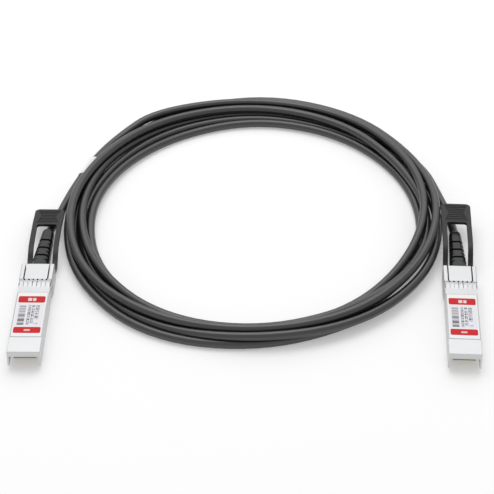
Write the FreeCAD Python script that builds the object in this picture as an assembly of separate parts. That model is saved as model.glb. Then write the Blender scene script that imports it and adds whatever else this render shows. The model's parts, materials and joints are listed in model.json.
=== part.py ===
import FreeCAD, Part
import math
import os

os.makedirs("parts", exist_ok=True)

V = FreeCAD.Vector
X_AXIS, Y_AXIS, Z_AXIS = V(1, 0, 0), V(0, 1, 0), V(0, 0, 1)

# Where the two plugs lie (mating end, mm) and how far each is turned on the table.
# A plug is drawn in its own frame: x across, y from the mating end to the rear, z up.
# Boot and pull tab are flexible: the boot leans and the tab's loop is pushed a little sideways.
PLUGS = {
    "left": {"x": -91.33, "y": -49.99, "yaw": -0.6, "boot_lean": 2.8,
             "tab_swing": 0.7, "tab_top": 8.0, "grip_tilt": 7.5},
    "right": {"x": 86.32, "y": -51.39, "yaw": -3.0, "boot_lean": -1.2,
              "tab_swing": 0.0, "tab_top": 10.3, "grip_tilt": 0.0},
}

# Small form-factor plug body
BODY_W = 13.4
BODY_H = 8.5
BODY_BASE = 0.45            # latch boss height, so the boss tip touches the table
BODY_CHAMFER = 1.1
STOP_Y = 47.5               # shoulder that stops against the cage
REAR_Y = 57.9
BLOCK_W = 14.1
BLOCK_TOP = 9.0
SPLIT_Z = 5.0
FLOOR_T = 1.0
ROOF_T = 0.95
SIDE_T = 1.1
MOUTH_DEPTH = 10.4
MOUTH_CEILING = BODY_BASE + 5.8
SKIRT_T = 0.7
SKIRT_BOTTOM = BODY_BASE + 1.1
BULKHEAD_T = 1.0
CAVITY_END = 46.0
TOP_ROUND = 0.2
BODY_TOP = BODY_BASE + BODY_H
INNER_X = BODY_W / 2 - SIDE_T
INNER_Z0 = BODY_BASE + FLOOR_T
INNER_Z1 = BODY_TOP - ROOF_T
RAIL_X = 5.35               # inner face of the block's side rails
COVER_X = 4.78              # half width of the cover between the rails

# Card and what sits on it
CARD_W = 9.2
CARD_T = 1.0
CARD_Y0 = 3.2
CARD_Y1 = 24.0
CARD_Z = BODY_BASE + 2.25
CARD_BEVEL = 0.3
PAD_PITCH = 0.8
PAD_W = 0.5
PAD_L = 2.2
PAD_T = 0.05
PADS_PER_SIDE = 10
CHIP = (3.0, 4.0, 0.9)
CHIP_Y = 14.2

# Cable and the way it is held
CABLE_R = 1.9
AXIS_Z = 4.5
JACKET_Y = 46.6
FERRULE_Y0 = 47.0
FERRULE_Y1 = 53.0
FERRULE_R = 2.4
FLANGE_R = 2.8
FLANGE_Y = 48.0
NECK_R = 2.85
NECK_Y = 54.0
FIT = 0.05
CORE_R = 0.45
CORE_PITCH = 0.96
WIRE_R = 0.2

# Bend relief
BOOT_L = 28.4
BOOT_BASE = (7.7, 7.4)
BOOT_TIP = 5.2
BOOT_SHOULDER = 2.0         # length of the rounded end
GROOVES = (8.0, 13.6, 19.4)
GROOVE_W = 1.3
GROOVE_DEPTH = 0.55
NOTCHES = (5.0, 10.7, 16.4)
NOTCH_W = 1.7               # at the boot's side; the notch narrows to a point on top
NOTCH_POINT = 1.1
NOTCH_CORE = 2.5            # radius left round the cable

# Latch: boss, slider and pull tab
TRAVEL = 1.8
BOSS_W = 2.6
BOSS_Y0 = 42.4
BOSS_Y1 = 45.0
SLIDER_T = 0.35
SLIDER_Z = 0.8
POCKET_HALF = 3.15
POCKET_Y0 = 36.95
POCKET_TOP = 1.25
CHANNEL = (3.9, 6.4, 0.9, 3.7)
ARM = (4.15, 6.3, 1.25, 3.35)
TAB_T = 1.3
TAB_RISE = 18.0
TAB_HALF = 6.45
WINDOW_HALF = 4.35
TAB_WINDOW = 30.0           # from the plug's rear to the grip
TAB_REACH = 43.8            # from the plug's rear to the tab's far edge
GRIP_Y0 = REAR_Y + TAB_WINDOW
GRIP_Y1 = REAR_Y + TAB_REACH
GRIP_HALF = 6.5
GRIP_RIBS = 8
GRIP_SINK = 0.3             # depth of the ribbed field
GRIP_WAIST = 3.2
GRIP_WIDE = 4.9
TINE_RUN = (1.5, 1.05, 0.25)  # the tine's foot, its step and its rear, in front of the boss
SLIDER_END = 49.5
CROSS_PLATE = (49.2, 56.0)  # the slider's wide plate across the block, y
CROSS_HALF = 5.3
EAR_Y = (50.4, 55.4)

# Spring chamber above the slider's tongue
TONGUE_HALF = 0.85
TONGUE_Y0 = 26.0
CHAMBER_Y0 = 25.4
CHAMBER_Y1 = 35.0
CHAMBER_HALF = 1.05
CHAMBER_TOP = 3.1
SPRING_R = 0.7
SPRING_WIRE = 0.15
SPRING_TURNS = 6

# Spring-finger collar
COLLAR_Y0 = 38.6
COLLAR_Y1 = 47.0
COLLAR_SEAT = 0.2
COLLAR_T = 0.18
FINGER_Y0 = 42.2
FINGER_Y1 = 46.7
FINGER_PITCH = 1.86
FINGER_W = 1.46
FINGER_LIFT = 0.38
FINGER_TIP_CUT = (0.3, 0.7) # corner taken off a finger's tip, x and y
POCKET_XY = (0.42, 0.6)     # half diagonals of the pocket behind each gap between fingers
POCKET_Y = 47.15
POCKET_DEPTH = 1.7
SLOT_HALF = 0.23            # slots under the two middle gaps
SLOT_Y = (43.2, 46.3)
SLOT_DEPTH = 0.7

# Label and screws
LABEL_Y0 = 9.2
LABEL_Y1 = 38.4
LABEL_HALF = 6.42
LABEL_T = 0.12
SCREW_X = 4.5
SCREW_Y = 33.5
SCREW_R = 0.6
SCREW_HEAD_R = 1.2
SCREW_HEAD_H = 0.65

# Coil: the outer shape of the loose turns on the table
COIL_CENTRE = (1.1, 56.8)
COIL_OUT_X = 83.5
COIL_OUT_Y = 93.0
COIL_BAND = 18.0
COIL_H = 11.0
COIL_EDGE_R = 4.0

# Route of each lead from its boot to the coil, picked by hand
LEFT_LEAD = [(-87.0, 47.8, 2.1), (-82.0, 70.3, 2.1), (-73.8, 96.1, 2.1), (-63.8, 118.5, 2.1)]
RIGHT_LEAD = [(89.8, 49.1, 2.2), (86.8, 65.3, 1.95), (81.2, 84.3, 1.95)]
MARKER_R = 2.1
MARKER_Y = (83.6, 96.9)


def box(x0, x1, y0, y1, z0, z1):
    return Part.makeBox(x1 - x0, y1 - y0, z1 - z0, V(x0, y0, z0))


def both_sides(shape):
    return shape.fuse(shape.mirror(V(0, 0, 0), X_AXIS))


def along_y(radius, y0, y1, x=0.0, z=AXIS_Z):
    return Part.makeCylinder(radius, y1 - y0, V(x, y0, z), Y_AXIS)


def prism_y(points, y0, y1):
    """Solid from an x-z outline, run from y0 to y1."""
    wire = Part.makePolygon([V(x, y0, z) for x, z in points] + [V(points[0][0], y0, points[0][1])])
    return Part.Face(wire).extrude(V(0, y1 - y0, 0))


def prism_x(points, x0, x1):
    """Solid from a y-z outline, run from x0 to x1."""
    wire = Part.makePolygon([V(x0, y, z) for y, z in points] + [V(x0, points[0][0], points[0][1])])
    return Part.Face(wire).extrude(V(x1 - x0, 0, 0))


def body_outline(inset=0.0):
    """The plug body's x-z outline with its bottom edges cut off, moved inward by inset."""
    half = BODY_W / 2 - inset
    low = BODY_BASE + inset
    cut = BODY_CHAMFER - inset * (2 - math.sqrt(2))
    top = BODY_TOP - inset
    return [(-half + cut, low), (half - cut, low), (half, low + cut), (half, top),
            (-half, top), (-half, low + cut)]


def collar_seat():
    """Band of metal taken off both housing halves so that the collar lies flush."""
    outer = box(-9, 9, COLLAR_Y0 - 0.05, COLLAR_Y1 + 0.05, -1, 10)
    return outer.cut(prism_y(body_outline(COLLAR_SEAT), COLLAR_Y0 - 1, COLLAR_Y1 + 1))


def cable_seat():
    """Bores along the cable for the jacket end, the ferrule with its flange, and the boot's neck."""
    seat = along_y(FERRULE_R + FIT, CAVITY_END - 0.1, REAR_Y + 1)
    seat = seat.fuse(along_y(FLANGE_R + FIT, FLANGE_Y - FIT, FLANGE_Y + 1 + FIT))
    return seat.fuse(along_y(NECK_R, NECK_Y - FIT, REAR_Y + 1))


def lower_housing():
    body = prism_y(body_outline(), MOUTH_DEPTH, STOP_Y)
    body = body.cut(box(-BODY_W, BODY_W, 0, STOP_Y + 1, SPLIT_Z, BODY_TOP + 1))
    body = body.cut(box(-INNER_X, INNER_X, MOUTH_DEPTH + BULKHEAD_T, CAVITY_END, INNER_Z0, SPLIT_Z + 1))
    body = body.cut(box(-CARD_W / 2 - 0.1, CARD_W / 2 + 0.1, MOUTH_DEPTH - 1, MOUTH_DEPTH + 2,
                        CARD_Z - 0.1, SPLIT_Z + 1))
    ledge = box(4.0, INNER_X, 12.5, CARD_Y1, INNER_Z0, CARD_Z)
    post = Part.makeCylinder(1.25, SPLIT_Z - INNER_Z0, V(SCREW_X, SCREW_Y, INNER_Z0))
    body = body.fuse(both_sides(ledge)).fuse(both_sides(post))
    body = body.fuse(box(-3.9, 3.9, POCKET_Y0 - 0.9, CAVITY_END, INNER_Z0, INNER_Z0 + 0.55))
    body = body.fuse(box(-1.9, 1.9, CHAMBER_Y0 - 0.8, POCKET_Y0, INNER_Z0, CHAMBER_TOP + 0.4))

    block = box(-BLOCK_W / 2, BLOCK_W / 2, STOP_Y, REAR_Y, 0, SPLIT_Z)
    block = block.fuse(both_sides(box(RAIL_X, BLOCK_W / 2, STOP_Y, REAR_Y, SPLIT_Z, BLOCK_TOP)))
    edges = [e for e in block.Edges if e.Length > 10 and abs(e.CenterOfMass.x) > 7
             and (e.CenterOfMass.z > BLOCK_TOP - 0.01 or e.CenterOfMass.z < 0.01)]
    block = block.makeFillet(0.45, edges)
    body = body.fuse(block).cut(collar_seat())

    boss = Part.Face(Part.makePolygon([V(-BOSS_W / 2, BOSS_Y1, 0), V(BOSS_W / 2, BOSS_Y1, 0),
                                       V(0, BOSS_Y0, 0), V(-BOSS_W / 2, BOSS_Y1, 0)]))
    boss = boss.extrude(V(0, 0, INNER_Z0 + 0.3))
    body = body.cut(box(-POCKET_HALF, POCKET_HALF, POCKET_Y0, STOP_Y + 0.1, -1, POCKET_TOP))
    body = body.cut(box(-5.5, 5.5, STOP_Y - 0.1, REAR_Y + 1, 0.65, POCKET_TOP + 0.05))
    body = body.cut(box(-CHAMBER_HALF, CHAMBER_HALF, CHAMBER_Y0, POCKET_Y0 + 0.1, -1, POCKET_TOP))
    body = body.cut(box(-CHAMBER_HALF, CHAMBER_HALF, CHAMBER_Y0, CHAMBER_Y1, 0.5, CHAMBER_TOP))
    x0, x1, z0, z1 = CHANNEL
    body = body.cut(both_sides(box(x0, x1, STOP_Y + 1.1, REAR_Y + 1, z0, z1)))
    body = body.cut(cable_seat())
    hole = Part.makeCylinder(SCREW_R, 6, V(SCREW_X, SCREW_Y, 0))
    sink = Part.makeCylinder(SCREW_HEAD_R, SCREW_HEAD_H, V(SCREW_X, SCREW_Y, BODY_BASE))
    body = body.cut(both_sides(hole.fuse(sink)))
    return body.fuse(boss).removeSplitter()


def top_cover():
    shell = prism_y(body_outline(), 0, MOUTH_DEPTH)
    shell = shell.cut(box(-BODY_W / 2 + SKIRT_T, BODY_W / 2 - SKIRT_T, -1, MOUTH_DEPTH + 1, -1, MOUTH_CEILING))
    shell = shell.cut(box(-BODY_W, BODY_W, -1, MOUTH_DEPTH + 1, -1, SKIRT_BOTTOM))
    deck = box(-BODY_W / 2, BODY_W / 2, MOUTH_DEPTH, STOP_Y, SPLIT_Z, BODY_TOP)
    shell = shell.fuse(deck).removeSplitter()
    edges = [e for e in shell.Edges if e.Length > 40 and e.CenterOfMass.z > BODY_TOP - 0.01]
    front = [e for e in shell.Edges if abs(e.CenterOfMass.y) < 0.01 and e.CenterOfMass.z > BODY_TOP - 0.01]
    shell = shell.makeFillet(TOP_ROUND, edges + front)
    shell = shell.cut(box(-INNER_X, INNER_X, MOUTH_DEPTH + BULKHEAD_T, CAVITY_END, SPLIT_Z - 1, INNER_Z1))
    shell = shell.fuse(box(-CARD_W / 2, CARD_W / 2, MOUTH_DEPTH, MOUTH_DEPTH + BULKHEAD_T,
                           CARD_Z + CARD_T + 0.1, MOUTH_CEILING + 0.1))
    rib = box(4.0, INNER_X - 0.1, 13, CARD_Y1 - 0.5, CARD_Z + CARD_T, INNER_Z1)
    post = Part.makeCylinder(1.25, INNER_Z1 - SPLIT_Z, V(SCREW_X, SCREW_Y, SPLIT_Z))
    shell = shell.fuse(both_sides(rib)).fuse(both_sides(post))

    plate = box(-COVER_X, COVER_X, STOP_Y, REAR_Y, SPLIT_Z, BLOCK_TOP)
    shell = shell.fuse(plate).cut(collar_seat()).cut(cable_seat())
    shell = shell.cut(both_sides(Part.makeCylinder(SCREW_R, INNER_Z1 - SPLIT_Z - 0.4,
                                                   V(SCREW_X, SCREW_Y, SPLIT_Z))))
    shell = shell.cut(box(-LABEL_HALF, LABEL_HALF, LABEL_Y0, LABEL_Y1, BODY_TOP - LABEL_T, 12))
    return shell.cut(tip_pockets()).removeSplitter()


def tip_pockets():
    """Diamond pockets behind the gaps between the upper fingers, and slots under the middle two gaps."""
    pockets = []
    half_x, half_y = POCKET_XY
    for i in range(-3, 3):
        x = (i + 0.5) * FINGER_PITCH
        z = BODY_TOP - POCKET_DEPTH
        loop = [V(x - half_x, POCKET_Y, z), V(x, POCKET_Y - half_y, z), V(x + half_x, POCKET_Y, z),
                V(x, POCKET_Y + half_y, z)]
        pockets.append(Part.Face(Part.makePolygon(loop + loop[:1])).extrude(V(0, 0, 2 * POCKET_DEPTH)))
    x = FINGER_PITCH / 2
    slot = box(x - SLOT_HALF, x + SLOT_HALF, SLOT_Y[0], SLOT_Y[1], BODY_TOP - SLOT_DEPTH, BODY_TOP + 1)
    return pockets[0].fuse(pockets[1:] + [both_sides(slot)])


def finger(width):
    """One bowed spring finger, its root on y = FINGER_Y0 and its outer face at z = 0."""
    mid = (FINGER_Y0 + FINGER_Y1) / 2 + 0.2
    top = [(FINGER_Y0, 0), (FINGER_Y0 + 0.8, FINGER_LIFT * 0.45), (mid - 0.4, FINGER_LIFT),
           (mid + 0.4, FINGER_LIFT), (FINGER_Y1, 0.0)]
    low = [(y, z - COLLAR_T) for y, z in reversed(top)]
    cut_x, cut_y = FINGER_TIP_CUT
    half = width / 2
    plan = [(-half, FINGER_Y0), (half, FINGER_Y0), (half, FINGER_Y1 - cut_y), (half - cut_x, FINGER_Y1),
            (cut_x - half, FINGER_Y1), (-half, FINGER_Y1 - cut_y)]
    plan = Part.Face(Part.makePolygon([V(x, y, -1) for x, y in plan + plan[:1]])).extrude(V(0, 0, 2))
    return prism_x(top + low, -half, half).common(plan)


def emi_collar():
    outer = prism_y(body_outline(COLLAR_SEAT - COLLAR_T), COLLAR_Y0, FINGER_Y0)
    band = outer.cut(prism_y(body_outline(COLLAR_SEAT), COLLAR_Y0 - 1, FINGER_Y0 + 1))
    band = band.cut(box(-POCKET_HALF - 0.1, POCKET_HALF + 0.1, COLLAR_Y0 + 1.9, FINGER_Y0 + 1, -1, 2))
    skin = COLLAR_SEAT - COLLAR_T
    parts = [band]
    for i in range(-3, 4):
        one = finger(FINGER_W)
        one.translate(V(i * FINGER_PITCH, 0, BODY_TOP - skin))
        parts.append(one)
    for side in (-1, 1):
        for k in range(4):
            one = finger(FINGER_W - 0.1)
            one.rotate(V(0, 0, 0), Y_AXIS, 90 * side)
            one.translate(V(side * (BODY_W / 2 - skin), 0, BODY_BASE + 2.05 + k * 1.72))
            parts.append(one)
        one = finger(FINGER_W)
        one.rotate(V(0, 0, 0), Y_AXIS, 180)
        one.translate(V(side * 4.5, 0, BODY_BASE + skin))
        parts.append(one)
    return parts[0].fuse(parts[1:])


def paddle_card():
    z0, z1 = CARD_Z, CARD_Z + CARD_T
    b = CARD_BEVEL
    outline = [(CARD_Y0, z0 + b), (CARD_Y0 + b, z0), (CARD_Y1, z0), (CARD_Y1, z1), (CARD_Y0 + b, z1),
               (CARD_Y0, z1 - b)]
    return prism_x(outline, -CARD_W / 2, CARD_W / 2)


def contact_pads():
    pads = []
    for i in range(PADS_PER_SIDE):
        x = (i - (PADS_PER_SIDE - 1) / 2) * PAD_PITCH
        y0 = CARD_Y0 + 0.6
        pads.append(box(x - PAD_W / 2, x + PAD_W / 2, y0, y0 + PAD_L, CARD_Z + CARD_T, CARD_Z + CARD_T + PAD_T))
        pads.append(box(x - PAD_W / 2, x + PAD_W / 2, y0, y0 + PAD_L, CARD_Z - PAD_T, CARD_Z))
    for k in (-1.5, -0.5, 0.5, 1.5):
        x = k * CORE_PITCH
        pads.append(box(x - 0.3, x + 0.3, CARD_Y1 - 2.6, CARD_Y1 - 0.4, CARD_Z + CARD_T,
                        CARD_Z + CARD_T + PAD_T))
    return Part.makeCompound(pads)


def memory_chip():
    w, l, h = CHIP
    body = box(-w / 2, w / 2, CHIP_Y, CHIP_Y + l, CARD_Z + CARD_T, CARD_Z + CARD_T + h)
    return body.makeChamfer(0.15, [e for e in body.Edges if e.CenterOfMass.z > CARD_Z + CARD_T + h - 0.01])


def twinax_cores():
    wires = []
    z_core = CARD_Z + CARD_T + PAD_T + CORE_R + 0.06
    z_wire = CARD_Z + CARD_T + PAD_T + WIRE_R
    for k in (-1.5, -0.5, 0.5, 1.5):
        x = k * CORE_PITCH
        core = along_y(CORE_R, CARD_Y1 + 0.7, JACKET_Y, x, z_core)
        wire = along_y(WIRE_R, CARD_Y1 - 2.4, CARD_Y1 + 1.0, x, z_wire)
        wires.append(core.fuse(wire))
    return Part.makeCompound(wires)


def cable_end(lean):
    """Jacketed cable inside the plug and the boot, with the boot's slight lean."""
    straight = along_y(CABLE_R, JACKET_Y, REAR_Y)
    bent = along_y(CABLE_R, REAR_Y, REAR_Y + BOOT_L)
    bent.rotate(V(0, REAR_Y, AXIS_Z), Z_AXIS, -lean)
    elbow = Part.makeSphere(CABLE_R, V(0, REAR_Y, AXIS_Z))
    return straight.fuse([elbow, bent]).removeSplitter()


def crimp_ferrule():
    ring = along_y(FERRULE_R, FERRULE_Y0, FERRULE_Y1)
    ring = ring.fuse(along_y(FLANGE_R, FLANGE_Y, FLANGE_Y + 1))
    return ring.cut(along_y(CABLE_R, FERRULE_Y0 - 1, FERRULE_Y1 + 1))


def rounded_section(width, height, y):
    """Closed x-z wire of a rounded rectangle about the cable's axis."""
    r = min(width, height) * 0.36
    hx, hz = width / 2 - r, height / 2 - r
    edges = []
    for k, (sx, sz) in enumerate([(1, 1), (-1, 1), (-1, -1), (1, -1)]):
        centre = V(sx * hx, y, AXIS_Z + sz * hz)
        pts = []
        for step in (0, 45, 90):
            a = math.radians(90 * k + step)
            pts.append(centre + V(r * math.cos(a), 0, r * math.sin(a)))
        edges.append((Part.Arc(*pts).toShape(), pts[0], pts[2]))
    wire = []
    for k, (arc, _, end) in enumerate(edges):
        wire.append(arc)
        wire.append(Part.LineSegment(end, edges[(k + 1) % 4][1]).toShape())
    return Part.Wire(wire)


def boot(lean, inner):
    def size(s, shrink=0.0):
        t = s / BOOT_L
        w = BOOT_BASE[0] + (BOOT_TIP - BOOT_BASE[0]) * t - 2 * shrink
        h = BOOT_BASE[1] + (BOOT_TIP - BOOT_BASE[1]) * t - 2 * shrink
        return w, h

    stations = [(-1.0, 0.0)]
    for g in GROOVES:
        stations += [(g - GROOVE_W / 2, 0.0), (g + GROOVE_W / 2, 0.0)]
    stations += [(BOOT_L - BOOT_SHOULDER, 0.0)]
    pieces = []
    for k in range(len(stations) - 1):
        s0, s1 = stations[k][0], stations[k + 1][0]
        shrink = GROOVE_DEPTH if k % 2 else 0.0
        overlap = 0.05 if shrink else 0.0
        w0, h0 = size(s0 - overlap, shrink)
        w1, h1 = size(s1 + overlap, shrink)
        pieces.append(Part.makeLoft([rounded_section(w0, h0, REAR_Y + s0 - overlap),
                                     rounded_section(w1, h1, REAR_Y + s1 + overlap)], True, True))
    for part, s0, s1 in ((0, 0.0, 0.15), (1, 0.15, 0.5)):
        a0 = BOOT_L - BOOT_SHOULDER * (1 - part * 0.6)
        a1 = BOOT_L - BOOT_SHOULDER * (1 - part) * 0.4
        pieces.append(Part.makeLoft([rounded_section(*size(a0, s0), REAR_Y + a0),
                                     rounded_section(*size(a1, s1), REAR_Y + a1)], True, True))
    body = pieces[0].fuse(pieces[1:])
    core = along_y(NOTCH_CORE, REAR_Y, REAR_Y + BOOT_L)
    for s in NOTCHES:
        y, low = REAR_Y + s, AXIS_Z - BOOT_BASE[1]
        loop = [V(NOTCH_POINT, y, low), V(BOOT_BASE[0] / 2, y - NOTCH_W / 2, low),
                V(BOOT_BASE[0], y - NOTCH_W / 2, low), V(BOOT_BASE[0], y + NOTCH_W / 2, low),
                V(BOOT_BASE[0] / 2, y + NOTCH_W / 2, low)]
        wedge = Part.Face(Part.makePolygon(loop + loop[:1])).extrude(V(0, 0, 2 * BOOT_BASE[1]))
        body = body.cut(both_sides(wedge).cut(core))
    body.rotate(V(0, REAR_Y, AXIS_Z), Z_AXIS, -lean)
    body = body.cut(box(-9, 9, REAR_Y - 5, REAR_Y + 0.03, -2, 12))
    body = body.fuse(along_y(NECK_R, NECK_Y, REAR_Y + 0.5))
    return body.cut(inner).removeSplitter()


def latch_slider():
    z0, z1 = SLIDER_Z, SLIDER_Z + SLIDER_T
    front = POCKET_Y0 + 0.1
    plate = box(-POCKET_HALF + 0.15, POCKET_HALF - 0.15, front, SLIDER_END, z0, z1)
    plate = plate.cut(box(-BOSS_W / 2 - 0.15, BOSS_W / 2 + 0.15, BOSS_Y0 - TRAVEL - 0.4, BOSS_Y1 + 0.4, 0, 2))
    foot, step, rear = (BOSS_Y0 - run for run in TINE_RUN)
    end = rear + step - foot
    tine = prism_x([(foot, z0 + 0.1), (foot, z0), (step, SLIDER_T), (rear, SLIDER_T), (end, z0), (end, z0 + 0.1)],
                   BOSS_W / 2 + 0.2, POCKET_HALF - 0.2)
    plate = plate.fuse(both_sides(tine))
    plate = plate.fuse(box(-TONGUE_HALF, TONGUE_HALF, TONGUE_Y0, front + 0.5, z0, z1))
    plate = plate.fuse(box(-TONGUE_HALF, TONGUE_HALF, TONGUE_Y0, TONGUE_Y0 + SLIDER_T, z0, CHAMBER_TOP - 0.2))
    plate = plate.fuse(box(-CROSS_HALF, CROSS_HALF, CROSS_PLATE[0], CROSS_PLATE[1], z0, z1))
    ear = box(CROSS_HALF - SLIDER_T, CROSS_HALF, EAR_Y[0], EAR_Y[1], z0, ARM[3] - 0.5)
    return plate.fuse(both_sides(ear)).removeSplitter()


def pull_tab(ears, swing, top, tilt):
    """Loop and grip; swing pushes the loop sideways, top is its height, tilt tips the grip down."""
    x0, x1, z0, z1 = ARM
    y_flat = REAR_Y + TAB_RISE
    low = top - TAB_T
    drop = (GRIP_Y1 - GRIP_Y0) * math.tan(math.radians(tilt))

    def side_line(y_a, z_a, y_b, z_b):
        """Two equal arcs that join level runs at z_a and z_b smoothly."""
        dy, dz = (y_b - y_a) / 2, (z_b - z_a) / 2
        radius = (dy * dy + dz * dz) / (2 * dz)
        angle = math.asin(dy / radius)
        first = V(0, y_a + radius * math.sin(angle / 2), z_a + radius * (1 - math.cos(angle / 2)))
        mid = V(0, y_a + dy, z_a + dz)
        second = V(0, y_b - radius * math.sin(angle / 2), z_b - radius * (1 - math.cos(angle / 2)))
        return [Part.Arc(V(0, y_a, z_a), first, mid).toShape(), Part.Arc(mid, second, V(0, y_b, z_b)).toShape()]

    start = STOP_Y + 1.7
    y_lift = REAR_Y + 1.2
    upper = side_line(y_lift, z1, y_flat - 0.6, top)
    lower = side_line(y_lift + 1.8, z0, y_flat + 0.6, low)
    line = lambda a, b: Part.LineSegment(V(0, *a), V(0, *b)).toShape()
    edges = [line((start, z0), (start, z1)), line((start, z1), (y_lift, z1))] + upper
    rear = [(y_flat - 0.6, top), (GRIP_Y0, top), (GRIP_Y1, top - drop), (GRIP_Y1, low - drop), (GRIP_Y0, low),
            (y_flat + 0.6, low)]
    edges += [line(a, b) for a, b in zip(rear, rear[1:])]
    edges += lower[::-1] + [line((y_lift + 1.8, z0), (start, z0))]
    side = Part.Face(Part.Wire(Part.__sortEdges__(edges)))
    side.translate(V(-BODY_W, 0, 0))
    side = side.extrude(V(2 * BODY_W, 0, 0))

    y_bend, y_out = REAR_Y + 0.5, REAR_Y + 6.0

    def loop_of(half):
        """A half outline and its mirror; what lies behind the bend is moved by swing."""
        both = half + [(-x, y) for x, y in reversed(half)]
        return [(x + (swing if y > y_bend else 0.0), y) for x, y in both]

    points = loop_of([(x1, start), (x1, y_bend), (TAB_HALF, y_out), (TAB_HALF, GRIP_Y0),
                      (GRIP_HALF, GRIP_Y0 + 2), (GRIP_HALF, GRIP_Y1)])
    plan = Part.Face(Part.makePolygon([V(x, y, 0) for x, y in points + points[:1]])).extrude(V(0, 0, 12))
    corners = [e for e in plan.Edges if abs(e.CenterOfMass.y - GRIP_Y1) < 0.01 and e.Length > 11
               and abs(e.CenterOfMass.x) > 5]
    plan = plan.makeFillet(2.2, corners)
    points = loop_of([(x0, start - 1), (x0, y_bend), (WINDOW_HALF, y_out), (WINDOW_HALF, GRIP_Y0)])
    window = Part.Face(Part.makePolygon([V(x, y, 0) for x, y in points + points[:1]])).extrude(V(0, 0, 12))
    corners = [e for e in window.Edges if abs(e.CenterOfMass.y - GRIP_Y0) < 0.01 and e.Length > 11
               and abs(e.CenterOfMass.x) > 3]
    window = window.makeFillet(1.2, corners)
    tab = side.common(plan.cut(window))

    mid = (GRIP_Y0 + GRIP_Y1) / 2
    y0, y1 = GRIP_Y0 + 1.3, GRIP_Y1 - 1.3
    loop = [(-GRIP_WIDE, y0), (GRIP_WIDE, y0), (GRIP_WAIST, mid), (GRIP_WIDE, y1), (-GRIP_WIDE, y1),
            (-GRIP_WAIST, mid)]
    field = Part.Face(Part.makePolygon([V(x + swing, y, top - GRIP_SINK) for x, y in loop + loop[:1]]))
    field = field.extrude(V(0, 0, 1))
    ribs = []
    pitch = (y1 - y0) / GRIP_RIBS
    for k in range(GRIP_RIBS):
        y = y0 + (k + 0.5) * pitch
        half = GRIP_WAIST + (GRIP_WIDE - GRIP_WAIST) * abs(y - mid) / ((y1 - y0) / 2)
        ribs.append(box(swing - half, swing + half, y - pitch / 4, y + pitch / 4,
                        top - GRIP_SINK - 0.1, top - 0.1))
    for shape in [field] + ribs:
        shape.rotate(V(0, GRIP_Y0, top), X_AXIS, -tilt)
    tab = tab.cut(field).fuse(ribs)
    return tab.cut(ears).removeSplitter()


def return_spring():
    """Coil spring drawn at its pressed length, its rear end against the chamber's wall."""
    length = CHAMBER_Y1 - (TONGUE_Y0 + SLIDER_T + TRAVEL) - 2 * SPRING_WIRE - 0.05
    helix = Part.makeHelix(length / SPRING_TURNS, length, SPRING_R)
    circle = Part.Wire(Part.makeCircle(SPRING_WIRE, V(SPRING_R, 0, 0), Y_AXIS))
    coil = helix.makePipeShell([circle], True, True)
    coil.rotate(V(0, 0, 0), X_AXIS, -90)
    coil.translate(V(0, CHAMBER_Y1 - SPRING_WIRE - length, CHAMBER_TOP - SPRING_R - SPRING_WIRE))
    return coil


def label():
    return box(-LABEL_HALF, LABEL_HALF, LABEL_Y0, LABEL_Y1, BODY_TOP - LABEL_T, BODY_TOP)


def cover_screws():
    screws = []
    for side in (-1, 1):
        x = side * SCREW_X
        head = Part.makeCylinder(SCREW_HEAD_R - 0.05, SCREW_HEAD_H - 0.1, V(x, SCREW_Y, BODY_BASE + 0.1))
        shank = Part.makeCylinder(SCREW_R, 5.6, V(x, SCREW_Y, BODY_BASE + 0.3))
        cross = box(x - 0.65, x + 0.65, SCREW_Y - 0.12, SCREW_Y + 0.12, 0, BODY_BASE + 0.4)
        cross = cross.fuse(box(x - 0.12, x + 0.12, SCREW_Y - 0.65, SCREW_Y + 0.65, 0, BODY_BASE + 0.4))
        screws.append(head.fuse(shank).cut(cross))
    return Part.makeCompound(screws)


def place(shape, plug):
    moved = shape.copy()
    moved.rotate(V(0, 0, 0), Z_AXIS, plug["yaw"])
    moved.translate(V(plug["x"], plug["y"], 0))
    return moved


def boot_mouth(plug):
    """Centre of the boot's end, where the free cable starts."""
    lean = math.radians(plug["boot_lean"])
    yaw = math.radians(plug["yaw"])
    x, y = BOOT_L * math.sin(lean), REAR_Y + BOOT_L * math.cos(lean)
    return V(plug["x"] + x * math.cos(yaw) - y * math.sin(yaw),
             plug["y"] + x * math.sin(yaw) + y * math.cos(yaw), AXIS_Z)


def tube(points, radius):
    """Straight runs joined by tangent arcs, swept with a circle."""
    edges = []
    radii = []
    at = points[0]
    for k in range(1, len(points) - 1):
        a, b, c = points[k - 1], points[k], points[k + 1]
        u, w = (a - b).normalize(), (c - b).normalize()
        turn = math.pi - u.getAngle(w)
        reach = 0.45 * min((a - b).Length, (c - b).Length)
        start, end = b + u * reach, b + w * reach
        mid_dir = (u + w).normalize()
        r = reach / math.tan(turn / 2)
        mid = b + mid_dir * (r / math.cos(turn / 2) - r)
        edges.append(Part.LineSegment(at, start).toShape())
        edges.append(Part.Arc(start, mid, end).toShape())
        radii.append(r)
        at = end
    edges.append(Part.LineSegment(at, points[-1]).toShape())
    path = Part.Wire(edges)
    way = (points[1] - points[0]).normalize()
    profile = Part.Wire(Part.makeCircle(radius, points[0], way))
    return path.makePipeShell([profile], True, False), path.Length, radii


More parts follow.
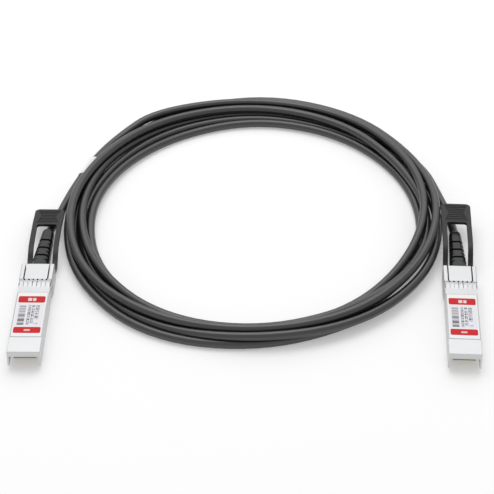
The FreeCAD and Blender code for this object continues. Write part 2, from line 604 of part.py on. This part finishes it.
def coil():
    """Closed ring with the outer shape of all the loose turns, a little longer than wide."""
    half = COIL_BAND / 2
    mid_r = COIL_OUT_X - half
    r = COIL_EDGE_R
    corners = [(mid_r - half, 0), (mid_r + half, 0), (mid_r + half, COIL_H), (mid_r - half, COIL_H)]
    edges = []
    ends = []
    for k, (x, z) in enumerate(corners):
        cx = x + (r if k in (0, 3) else -r)
        cz = z + (r if k in (0, 1) else -r)
        base = 90 * ((k + 2) % 4)
        pts = [V(cx + r * math.cos(math.radians(base + s)), 0, cz + r * math.sin(math.radians(base + s)))
               for s in (0, 45, 90)]
        edges.append(Part.Arc(*pts).toShape())
        ends.append((pts[0], pts[2]))
    for k in range(4):
        edges.append(Part.LineSegment(ends[k][1], ends[(k + 1) % 4][0]).toShape())
    face = Part.Face(Part.Wire(Part.__sortEdges__(edges)))
    ring = face.revolve(V(0, 0, 0), Z_AXIS, 360)
    stretch = FreeCAD.Matrix()
    stretch.scale(V(1, COIL_OUT_Y / COIL_OUT_X, 1))
    ring = ring.transformGeometry(stretch)
    ring.translate(V(COIL_CENTRE[0], COIL_CENTRE[1], 0))
    return ring


nodes = {}
for side, plug in PLUGS.items():
    stub = cable_end(plug["boot_lean"])
    slider = latch_slider()
    pieces = {
        "lower_housing": lower_housing(),
        "top_cover": top_cover(),
        "emi_collar": emi_collar(),
        "paddle_card": paddle_card(),
        "contact_pads": contact_pads(),
        "memory_chip": memory_chip(),
        "twinax_cores": twinax_cores(),
        "cable_end": stub,
        "crimp_ferrule": crimp_ferrule(),
        "boot": boot(plug["boot_lean"], stub),
        "latch_slider": slider,
        "pull_tab": pull_tab(slider, plug["tab_swing"], plug["tab_top"], plug["grip_tilt"]),
        "return_spring": return_spring(),
        "label": label(),
        "cover_screws": cover_screws(),
    }
    for name, shape in pieces.items():
        nodes[side + "_" + name] = place(shape, plug)

cord = {}
for side, route in (("left", LEFT_LEAD), ("right", RIGHT_LEAD)):
    points = [boot_mouth(PLUGS[side])] + [V(*p) for p in route]
    shape, length, radii = tube(points, CABLE_R)
    cord["cable_lead_" + side] = shape
    section = math.pi * CABLE_R ** 2
    print("cable_lead_%s arc radii %s mm" % (side, [round(r, 1) for r in radii]))
    print("  volume %.1f, section x length %.1f" % (shape.Volume, section * length))
    if side == "left":
        wide = tube(points, MARKER_R)[0]
        y0, y1 = MARKER_Y
        wrap = wide.common(box(-2 * COIL_OUT_X, 0, y0, y1, -MARKER_R, 3 * MARKER_R)).cut(shape)
cord["cable_marker"] = wrap
cord["cable_coil"] = coil()

for name, shape in list(nodes.items()) + list(cord.items()):
    if not shape.isValid() or shape.Volume <= 0:
        print("BAD", name, shape.isValid(), shape.Volume)
    print("%-24s solids %2d  volume %9.2f" % (name, len(shape.Solids), shape.Volume))
    shape.exportStep("parts/%s.step" % name)

whole = Part.makeCompound(list(nodes.values())).BoundBox
print("object box x %.3f..%.3f  y %.3f..%.3f  z %.3f..%.3f" % (
    whole.XMin, whole.XMax, whole.YMin, whole.YMax, whole.ZMin, whole.ZMax))
print("box centre %.3f %.3f" % ((whole.XMin + whole.XMax) / 2, (whole.YMin + whole.YMax) / 2))
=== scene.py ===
# %% [markdown]
# # A direct attach copper cable on a white table
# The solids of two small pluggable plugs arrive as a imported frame. This lesson gives every solid
# its finish, winds the cable between the plugs as one spline, and lights the table softly.

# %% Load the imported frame
import math
import json

import bpy
from mathutils import Matrix, Vector


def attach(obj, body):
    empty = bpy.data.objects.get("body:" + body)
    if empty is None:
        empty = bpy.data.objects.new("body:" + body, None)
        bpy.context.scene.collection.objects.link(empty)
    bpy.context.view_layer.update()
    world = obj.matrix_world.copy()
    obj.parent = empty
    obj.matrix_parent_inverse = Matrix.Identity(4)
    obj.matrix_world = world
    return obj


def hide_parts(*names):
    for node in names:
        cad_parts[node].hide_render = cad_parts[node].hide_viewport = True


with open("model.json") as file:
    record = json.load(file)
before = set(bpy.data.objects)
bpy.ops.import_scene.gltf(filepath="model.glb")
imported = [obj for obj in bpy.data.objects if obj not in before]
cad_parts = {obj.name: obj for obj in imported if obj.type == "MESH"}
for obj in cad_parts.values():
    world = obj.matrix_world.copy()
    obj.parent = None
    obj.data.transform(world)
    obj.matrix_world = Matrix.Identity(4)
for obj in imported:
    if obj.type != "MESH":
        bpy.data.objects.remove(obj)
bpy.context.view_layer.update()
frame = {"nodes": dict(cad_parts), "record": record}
MM = 0.001
ROOT = "cable_and_shells"

# %% [markdown]
# ## Camera
# The photo looks down on the table at 37 degrees from straight ahead, from about three quarters
# of a metre. A long lens at that distance keeps the two plugs nearly parallel, as they are there.

# %% Camera at the photo's angle
VIEW_TILT = math.radians(37.0)
VIEW_DISTANCE = 773.0 * MM
AIM = Vector((-1.4, 31.8, 0.0)) * MM
FOCAL_PIXELS = 1750.0
FRAME_PIXELS = 494.0

camera_data = bpy.data.cameras.new("table_camera")
camera_data.sensor_width = 36.0
camera_data.lens = FOCAL_PIXELS / FRAME_PIXELS * camera_data.sensor_width
camera_data.clip_start = 0.05
camera_data.clip_end = 20.0
camera = bpy.data.objects.new("table_camera", camera_data)
bpy.context.scene.collection.objects.link(camera)
camera.location = AIM + VIEW_DISTANCE * Vector((0.0, -math.cos(VIEW_TILT), math.sin(VIEW_TILT)))
camera.rotation_euler = (math.pi / 2 - VIEW_TILT, 0.0, 0.0)
bpy.context.scene.camera = camera
print("lens", round(camera_data.lens, 1))

# %% [markdown]
# ## The plugs' own frames
# Each plug lies slightly turned on the table. A helper carries a point from a plug's own frame
# (x across, y from the mating end to the rear, z up, in millimetres) to the table, in metres.

# %% Where the plugs lie
PLUGS = {
    "left": {"x": -91.33, "y": -49.99, "yaw": -0.6, "boot_lean": 2.8},
    "right": {"x": 86.32, "y": -51.39, "yaw": -3.0, "boot_lean": -1.2},
}
REAR_Y = 57.9
BOOT_L = 28.4
AXIS_Z = 4.5


def plug_matrix(side):
    plug = PLUGS[side]
    turn = Matrix.Rotation(math.radians(plug["yaw"]), 4, "Z")
    return Matrix.Scale(MM, 4) @ Matrix.Translation((plug["x"], plug["y"], 0.0)) @ turn


def boot_mouth(side):
    lean = math.radians(PLUGS[side]["boot_lean"])
    return plug_matrix(side) @ Vector((BOOT_L * math.sin(lean), REAR_Y + BOOT_L * math.cos(lean), AXIS_Z))


print("boot mouths", boot_mouth("left"), boot_mouth("right"))

# %% [markdown]
# ## The cable
# One cable of 3.8 mm runs from boot to boot. It leaves the left boot, lies outermost at first,
# and winds about six and a half loose turns, which cross over and under each other, before it
# reaches the right boot. A NURBS spline of order 3 passes smoothly inside its control points, so
# each turn is a row of radii and heights, one every 30 degrees. A fitting program set these rows
# to the photo's light and dark lines, so they aren't numbers picked by hand. The leads' points
# are those of the solids, except beside the coil: there the left lead's last point lies 1.8 mm
# further in, and the right lead's last point gives way to the turns.

# %% The cable's route
CABLE_D = 3.8 * MM
COIL_EYE = Vector((2.6, 50.8))
LEFT_LEAD = [(-87.0, 47.8, 2.1), (-82.0, 70.3, 2.1), (-73.8, 96.1, 2.1), (-62.5, 117.2, 2.1)]
RIGHT_LEAD = [(89.8, 49.1, 2.2), (86.8, 65.3, 1.95)]
STEP = 30
FIRST_ANGLE = 150
# Distance from the eye and height of each station, one turn per row, angle 0 nearest the camera
TURNS = [
    ([91.5, 91.4, 88.0, 80.0, 75.0, 72.8, 75.2], [6.7, 5.6, 6.3, 7.2, 8.9, 5.1, 1.9]),
    ([77.7, 78.6, 76.9, 73.3, 72.8, 75.1, 78.4, 76.8, 74.0, 73.0, 75.7, 79.6],
     [1.9, 1.9, 1.9, 3.9, 2.8, 1.9, 2.2, 2.5, 1.9, 1.9, 1.9, 1.9]),
    ([83.8, 84.2, 80.4, 76.9, 77.0, 80.7, 82.4, 80.2, 78.5, 80.1, 84.2, 87.0],
     [1.9, 1.9, 1.9, 1.9, 1.9, 1.9, 1.9, 1.9, 3.2, 5.8, 5.3, 5.0]),
    ([87.4, 87.6, 84.2, 80.3, 82.6, 92.7, 96.3, 91.3, 83.1, 80.2, 80.0, 82.7],
     [6.4, 2.6, 1.9, 1.9, 1.9, 1.9, 4.0, 5.1, 5.9, 9.7, 8.2, 6.8]),
    ([83.6, 84.7, 85.0, 82.3, 80.8, 85.4, 85.9, 80.8, 75.0, 76.3, 77.7, 78.8],
     [6.9, 5.7, 5.8, 8.6, 8.5, 6.1, 5.5, 6.5, 5.7, 4.1, 5.1, 5.8]),
    ([80.6, 81.4, 78.5, 77.4, 80.0, 85.1, 87.0, 83.7, 82.3, 81.4, 82.4, 83.2],
     [4.6, 4.2, 5.7, 5.9, 4.7, 2.1, 1.9, 1.9, 1.9, 1.9, 1.9, 2.4]),
    ([87.9, 91.8, 87.7, 82.9, 83.3, 88.8, 90.7, 87.6, 86.2],
     [2.1, 2.0, 3.0, 4.5, 5.9, 3.9, 1.9, 1.9, 1.9]),
]
# A quadratic spline runs this much inside control points that are 30 degrees apart
PULL_IN = 0.75 + 0.25 * math.cos(math.radians(STEP))


def coil_stations():
    angle = FIRST_ANGLE
    for radii, heights in TURNS:
        for radius, height in zip(radii, heights):
            a = math.radians(angle)
            reach = radius / PULL_IN
            yield (COIL_EYE.x - reach * math.sin(a), COIL_EYE.y - reach * math.cos(a), height)
            angle += STEP


route = [boot_mouth("left")] + [Vector(p) * MM for p in LEFT_LEAD]
route += [Vector(p) * MM for p in coil_stations()]
route += [Vector(p) * MM for p in reversed(RIGHT_LEAD)] + [boot_mouth("right")]

curve = bpy.data.curves.new("cable", "CURVE")
curve.dimensions = "3D"
# The bevel is in millimetres and each point's radius brings it to metres, which also keeps the
# curve's bounding box from growing by a point radius of one metre
curve.bevel_depth = CABLE_D / 2 / MM
curve.bevel_resolution = 6
curve.resolution_u = 8
spline = curve.splines.new("NURBS")
spline.points.add(len(route) - 1)
for knot, place in zip(spline.points, route):
    knot.co = (*place, 1.0)
    knot.radius = MM
spline.order_u = 3
spline.use_endpoint_u = True
cable = bpy.data.objects.new("cable", curve)
bpy.context.scene.collection.objects.link(cable)
print("cable route points", len(route))

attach(cable, ROOT)
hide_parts("cable_lead_left", "cable_coil", "cable_lead_right")


# %% [markdown]
# ## Finishes
# Every finish is procedural and reads Object coordinates. Three node groups are shared: a fine
# grain that roughens a surface, a rounded patch that prints a field of colour, and uneven bands
# for the fine marks on a label. The shader itself stays in each material.

# %% Node helpers
def wire(tree, source, target):
    tree.links.new(source, target)


def math_node(tree, operation, first, second=None, clamp=False):
    node = tree.nodes.new("ShaderNodeMath")
    node.operation = operation
    node.use_clamp = clamp
    for socket, value in zip(node.inputs, (first, second)):
        if value is None:
            continue
        if isinstance(value, (int, float)):
            socket.default_value = value
        else:
            wire(tree, value, socket)
    return node.outputs[0]


def new_group(name, inputs, outputs):
    """A shader node group; inputs and outputs are (name, kind, default)."""
    tree = bpy.data.node_groups.new(name, "ShaderNodeTree")
    for label, kind, value in inputs:
        socket = tree.interface.new_socket(name=label, in_out="INPUT", socket_type=kind)
        if value is not None:
            socket.default_value = value
    for label, kind in outputs:
        tree.interface.new_socket(name=label, in_out="OUTPUT", socket_type=kind)
    return tree, tree.nodes.new("NodeGroupInput"), tree.nodes.new("NodeGroupOutput")


def use_group(tree, group, **values):
    node = tree.nodes.new("ShaderNodeGroup")
    node.node_tree = group
    for label, value in values.items():
        socket = node.inputs[label.replace("_", " ")]
        if isinstance(value, (int, float, tuple)):
            socket.default_value = value
        else:
            wire(tree, value, socket)
    return node


def mix_color(tree, factor, first, second):
    node = tree.nodes.new("ShaderNodeMix")
    node.data_type = "RGBA"
    for label, value in (("Factor", factor), ("A", first), ("B", second)):
        socket = node.inputs[label]
        if isinstance(value, (int, float)):
            socket.default_value = value
        elif isinstance(value, tuple):
            socket.default_value = (*value, 1.0)
        else:
            wire(tree, value, socket)
    return node.outputs["Result"]


# %% Shared effect: fine grain
# Two sizes of noise. "Height" feeds a bump and "Variation" nudges colour or roughness.
FLOAT, VECTOR = "NodeSocketFloat", "NodeSocketVector"
grain, grain_in, grain_out = new_group(
    "fine_grain", [("Vector", VECTOR, None), ("Grain Size", FLOAT, 0.3), ("Cloud Size", FLOAT, 6.0)],
    [("Height", FLOAT), ("Variation", FLOAT)])
for size_name, output, detail in (("Grain Size", "Height", 2.0), ("Cloud Size", "Variation", 4.0)):
    noise = grain.nodes.new("ShaderNodeTexNoise")
    noise.inputs["Detail"].default_value = detail
    wire(grain, grain_in.outputs["Vector"], noise.inputs["Vector"])
    frequency = math_node(grain, "DIVIDE", 1.0 / MM, grain_in.outputs[size_name])
    wire(grain, frequency, noise.inputs["Scale"])
    wire(grain, noise.outputs["Fac"], grain_out.inputs[output])

# %% Shared effect: a rounded field of print
# The distance to a rounded rectangle, turned into a mask with a soft edge.
patch, patch_in, patch_out = new_group(
    "printed_patch",
    [("X", FLOAT, 0.0), ("Y", FLOAT, 0.0), ("Centre X", FLOAT, 0.0), ("Centre Y", FLOAT, 0.0),
     ("Half Width", FLOAT, 1.0), ("Half Height", FLOAT, 1.0), ("Corner", FLOAT, 0.3), ("Soft", FLOAT, 0.1)],
    [("Mask", FLOAT)])
sides = []
for axis, half in (("X", "Half Width"), ("Y", "Half Height")):
    offset = math_node(patch, "SUBTRACT", patch_in.outputs[axis], patch_in.outputs["Centre " + axis])
    flat = math_node(patch, "SUBTRACT", patch_in.outputs[half], patch_in.outputs["Corner"])
    sides.append(math_node(patch, "SUBTRACT", math_node(patch, "ABSOLUTE", offset), flat))
outside = [math_node(patch, "MAXIMUM", side, 0.0) for side in sides]
squares = [math_node(patch, "MULTIPLY", side, side) for side in outside]
reach = math_node(patch, "SQRT", math_node(patch, "ADD", *squares))
inside = math_node(patch, "MINIMUM", math_node(patch, "MAXIMUM", *sides), 0.0)
distance = math_node(patch, "SUBTRACT", math_node(patch, "ADD", reach, inside), patch_in.outputs["Corner"])
edge = math_node(patch, "DIVIDE", distance, patch_in.outputs["Soft"])
wire(patch, math_node(patch, "SUBTRACT", 0.5, edge, clamp=True), patch_out.inputs["Mask"])


# %% A plain finish with grain
def finish(name, color, roughness, metallic=0.0, grain_mm=0.3, bump=0.1, cloud_mm=6.0, tint=0.06,
           rough_swing=0.08, round_mm=0.0, **sockets):
    """A Principled material whose colour, roughness and normal vary a little over the surface."""
    mat = bpy.data.materials.new(name)
    mat.use_nodes = True
    tree = mat.node_tree
    shader = tree.nodes["Principled BSDF"]
    place = tree.nodes.new("ShaderNodeTexCoord")
    node = use_group(tree, grain, Vector=place.outputs["Object"], Grain_Size=grain_mm, Cloud_Size=cloud_mm)
    swing = math_node(tree, "SUBTRACT", node.outputs["Variation"], 0.5)
    dark = tuple(c * (1 - tint) for c in color)
    light = tuple(min(1.0, c * (1 + tint)) for c in color)
    shade = mix_color(tree, node.outputs["Variation"], dark, light)
    wire(tree, shade, shader.inputs["Base Color"])
    swing = math_node(tree, "MULTIPLY", swing, rough_swing * 2)
    rough = math_node(tree, "ADD", swing, roughness, clamp=True)
    wire(tree, rough, shader.inputs["Roughness"])
    relief = tree.nodes.new("ShaderNodeBump")
    relief.inputs["Strength"].default_value = bump
    relief.inputs["Distance"].default_value = 0.05 * MM
    wire(tree, node.outputs["Height"], relief.inputs["Height"])
    if round_mm:
        soft_edge = tree.nodes.new("ShaderNodeBevel")
        soft_edge.samples = 4
        soft_edge.inputs["Radius"].default_value = round_mm * MM
        wire(tree, soft_edge.outputs["Normal"], relief.inputs["Normal"])
    wire(tree, relief.outputs["Normal"], shader.inputs["Normal"])
    shader.inputs["Metallic"].default_value = metallic
    for label, value in sockets.items():
        shader.inputs[label.replace("_", " ")].default_value = value
    return mat


jacket = finish("cable_jacket", (0.010, 0.010, 0.011), 0.35, grain_mm=0.25, bump=0.2, cloud_mm=9.0,
                tint=0.1, Specular_IOR_Level=1.0)
cable.data.materials.append(jacket)

FINISHES = {
    "shell_metal": finish("satin_zinc", (0.63, 0.635, 0.64), 0.5, 1.0, grain_mm=0.3, bump=0.04, tint=0.02,
                          round_mm=0.12),
    "spring_sheet": finish("spring_steel", (0.65, 0.655, 0.665), 0.6, 1.0, grain_mm=0.3, bump=0.03,
                           tint=0.02),
    "card_laminate": finish("card_laminate", (0.20, 0.21, 0.09), 0.42, grain_mm=0.2, bump=0.15),
    "contact_gold": finish("contact_gold", (0.84, 0.62, 0.22), 0.25, 1.0, grain_mm=0.1, bump=0.03),
    "chip_black": finish("chip_package", (0.02, 0.02, 0.022), 0.5, grain_mm=0.12, bump=0.2),
    "core_insulation": finish("wire_insulation", (0.82, 0.82, 0.78), 0.3, grain_mm=0.3, bump=0.05),
    "ferrule_brass": finish("crimped_brass", (0.62, 0.46, 0.22), 0.34, 1.0, grain_mm=0.2, bump=0.1),
    "jacket_black": jacket,
    "boot_black": finish("boot_rubber", (0.005, 0.005, 0.006), 0.26, grain_mm=0.2, bump=0.2, tint=0.1,
                         round_mm=0.18, Specular_IOR_Level=0.44),
    "tab_black": finish("tab_plastic", (0.012, 0.012, 0.013), 0.38, grain_mm=0.28, bump=0.25, tint=0.08,
                        round_mm=0.35, Specular_IOR_Level=0.36),
    "wrap_white": finish("wrap_label", (0.88, 0.88, 0.89), 0.45, grain_mm=0.5, bump=0.05, tint=0.02),
}

# %% [markdown]
# ## The printed labels
# Each label is white film with two red bars with rounded corners, a block of uneven grey stripes
# and three columns of small specks. The specks and the plain white blocks in the bars say
# nothing. A Mapping node carries the table's coordinates into each plug's own millimetres, so one
# recipe serves both.

# %% Shared effect: uneven bands
# One-dimensional noise along a coordinate, cut at a level, which gives bars of uneven width.
bands, bands_in, bands_out = new_group(
    "uneven_bands",
    [("Along", FLOAT, 0.0), ("Pitch", FLOAT, 0.5), ("Level", FLOAT, 0.5), ("Soft", FLOAT, 0.06)],
    [("Mask", FLOAT)])
band_noise = bands.nodes.new("ShaderNodeTexNoise")
band_noise.noise_dimensions = "1D"
band_noise.inputs["Scale"].default_value = 1.0
band_noise.inputs["Detail"].default_value = 0.0
pitches = math_node(bands, "DIVIDE", bands_in.outputs["Along"], bands_in.outputs["Pitch"])
wire(bands, pitches, band_noise.inputs["W"])
over = math_node(bands, "SUBTRACT", band_noise.outputs["Fac"], bands_in.outputs["Level"])
over = math_node(bands, "DIVIDE", over, bands_in.outputs["Soft"])
wire(bands, math_node(bands, "ADD", over, 0.5, clamp=True), bands_out.inputs["Mask"])

# %% Label print
LABEL_MARKS = [
    # centre x, centre y, half width, half height, corner, softness, strength, colour
    (0.0, 23.7, 5.7, 7.6, 0.3, 0.3, 0.6, (0.76, 0.76, 0.83)),
    (0.0, 33.65, 5.6, 2.15, 0.75, 0.12, 1.0, (0.60, 0.012, 0.018)),
    (0.0, 13.75, 5.6, 1.95, 0.75, 0.12, 1.0, (0.60, 0.012, 0.018)),
    (-0.75, 33.6, 0.8, 0.95, 0.25, 0.3, 0.85, (0.84, 0.80, 0.80)),
    (1.15, 33.6, 0.65, 0.95, 0.25, 0.3, 0.85, (0.84, 0.80, 0.80)),
    (0.0, 13.7, 1.25, 0.55, 0.25, 0.3, 0.7, (0.84, 0.80, 0.80)),
]
LABEL_BORDER = (0.0, 24.0, 6.22, 14.3, 0.3)
INK = (0.10, 0.10, 0.11)
# The striped block: centre x, centre y, half width, half height, corner and softness
STRIPE_BLOCK = (-3.2, 23.3, 1.4, 6.3, 0.1, 0.1)
FINE_PITCH = 0.32
COARSE_PITCH = 1.5
# The block's strength at the plug's mating end, and its change for each millimetre to the rear
FADE_AT_TIP = 1.4
FADE_PER_MM = -0.03
# centre x, half width, centre y, half length and pitch of the specks' columns
SPECKS = [(-0.35, 0.6, 23.4, 6.4, 0.95), (1.25, 0.6, 24.0, 5.9, 1.1), (3.0, 0.75, 25.2, 4.6, 1.25),
          (3.1, 0.8, 17.9, 0.5, 0.9)]


def label_print(side):
    plug = PLUGS[side]
    mat = finish(side + "_label_print", (0.88, 0.88, 0.89), 0.5, grain_mm=0.6, bump=0.03, tint=0.012,
                 Specular_IOR_Level=0.2)
    tree = mat.node_tree
    shader = tree.nodes["Principled BSDF"]
    color = shader.inputs["Base Color"].links[0].from_socket
    place = tree.nodes.new("ShaderNodeTexCoord")
    local = tree.nodes.new("ShaderNodeMapping")
    local.vector_type = "TEXTURE"
    local.inputs["Location"].default_value = (plug["x"] * MM, plug["y"] * MM, 0.0)
    local.inputs["Rotation"].default_value = (0.0, 0.0, math.radians(plug["yaw"]))
    local.inputs["Scale"].default_value = (MM, MM, MM)
    wire(tree, place.outputs["Object"], local.inputs["Vector"])
    split = tree.nodes.new("ShaderNodeSeparateXYZ")
    wire(tree, local.outputs["Vector"], split.inputs["Vector"])
    x, y = split.outputs["X"], split.outputs["Y"]

    def field(cx, cy, half_w, half_h, corner, soft=0.12):
        node = use_group(tree, patch, X=x, Y=y, Centre_X=cx, Centre_Y=cy, Half_Width=half_w,
                         Half_Height=half_h, Corner=corner, Soft=soft)
        return node.outputs["Mask"]

    def uneven(along, pitch, level, soft=0.06):
        return use_group(tree, bands, Along=along, Pitch=pitch, Level=level, Soft=soft).outputs["Mask"]

    def times(first, second):
        return math_node(tree, "MULTIPLY", first, second)

    for cx, cy, half_w, half_h, corner, soft, strength, ink in LABEL_MARKS:
        color = mix_color(tree, times(field(cx, cy, half_w, half_h, corner, soft), strength), color, ink)
    rim = math_node(tree, "SUBTRACT", 1.0, field(*LABEL_BORDER, 0.1))
    color = mix_color(tree, times(rim, 0.8), color, (0.30, 0.30, 0.32))
    # The striped block: fine uneven bars over coarse bands, darker towards the plug's front
    fade = math_node(tree, "MULTIPLY_ADD", y, FADE_PER_MM)
    fade.node.inputs[2].default_value = FADE_AT_TIP
    fine = times(uneven(y, FINE_PITCH, 0.5), 0.35)
    coarse = times(uneven(y, COARSE_PITCH, 0.5, 0.1), 0.6)
    stripes = math_node(tree, "ADD", fine, coarse)
    block = times(field(*STRIPE_BLOCK), times(math_node(tree, "ADD", stripes, 0.3), fade))
    color = mix_color(tree, block, color, INK)
    for cx, half_w, cy, half_l, pitch in SPECKS:
        across = math_node(tree, "ADD", x, times(uneven(math_node(tree, "ADD", y, cx), pitch / 2, 0.5), 0.7))
        dots = times(uneven(math_node(tree, "ADD", y, 7 * cx), pitch / 2, 0.45), uneven(across, 0.6, 0.37))
        color = mix_color(tree, times(dots, field(cx, cy, half_w, half_l, 0.1, 0.15)), color, INK)
    wire(tree, color, shader.inputs["Base Color"])
    return mat


# %% Put each finish on its solids
dressed = 0
for entry in frame["record"]["subparts"]:
    node = frame["nodes"][entry["node"]]
    slot_name = entry["material_slot"]
    if slot_name == "label_white":
        look = label_print(entry["node"].split("_")[0])
    else:
        look = FINISHES[slot_name]
    if not node.material_slots:
        node.data.materials.append(look)
    for holder in node.material_slots:
        holder.link = "OBJECT"
        holder.material = look
    dressed += 1
print("solids dressed", dressed)

# %% [markdown]
# ## Table and light
# The photo has a white table in a bright, even room. A lamp above and a wide pale panel
# behind give the black plastic its highlights and the metal its sheen. The shadows are short and
# pale, because the table itself glows a little.

# %% Table
TABLE_SIZE = 6.0
TABLE_GLOW = 0.29
bpy.ops.mesh.primitive_plane_add(size=TABLE_SIZE, location=(0, 0, 0))
table = bpy.context.object
table.name = "table"
paper = finish("white_table", (0.72, 0.72, 0.72), 0.9, grain_mm=0.5, bump=0.0, tint=0.005,
               Emission_Color=(1.0, 1.0, 1.0, 1.0), Emission_Strength=TABLE_GLOW)
table.data.materials.append(paper)

# %% Lamps
ROOM_LIGHT = 0.65
# The lamps point at the middle of the part, in metres
LAMP_AIM = Vector((0.0, 0.03, 0.0))

world = bpy.data.worlds.new("soft_room")
bpy.context.scene.world = world
world.use_nodes = True
world.node_tree.nodes["Background"].inputs["Color"].default_value = (1, 1, 1, 1)
world.node_tree.nodes["Background"].inputs["Strength"].default_value = ROOM_LIGHT
bpy.context.scene.view_settings.view_transform = "Standard"


def soft_lamp(name, place, size_x, size_y, power):
    """A rectangular lamp in metres and watts that points at LAMP_AIM."""
    lamp = bpy.data.lights.new(name, "AREA")
    lamp.shape = "RECTANGLE"
    lamp.size, lamp.size_y, lamp.energy = size_x, size_y, power
    holder = bpy.data.objects.new(name, lamp)
    bpy.context.scene.collection.objects.link(holder)
    holder.location = place
    holder.rotation_euler = (LAMP_AIM - holder.location).to_track_quat("-Z", "Y").to_euler()


soft_lamp("overhead_lamp", (-0.06, 0.33, 0.95), 0.8, 0.6, 3.4)
soft_lamp("back_panel", (0.0, 1.1, 0.88), 1.6, 0.8, 2.7)
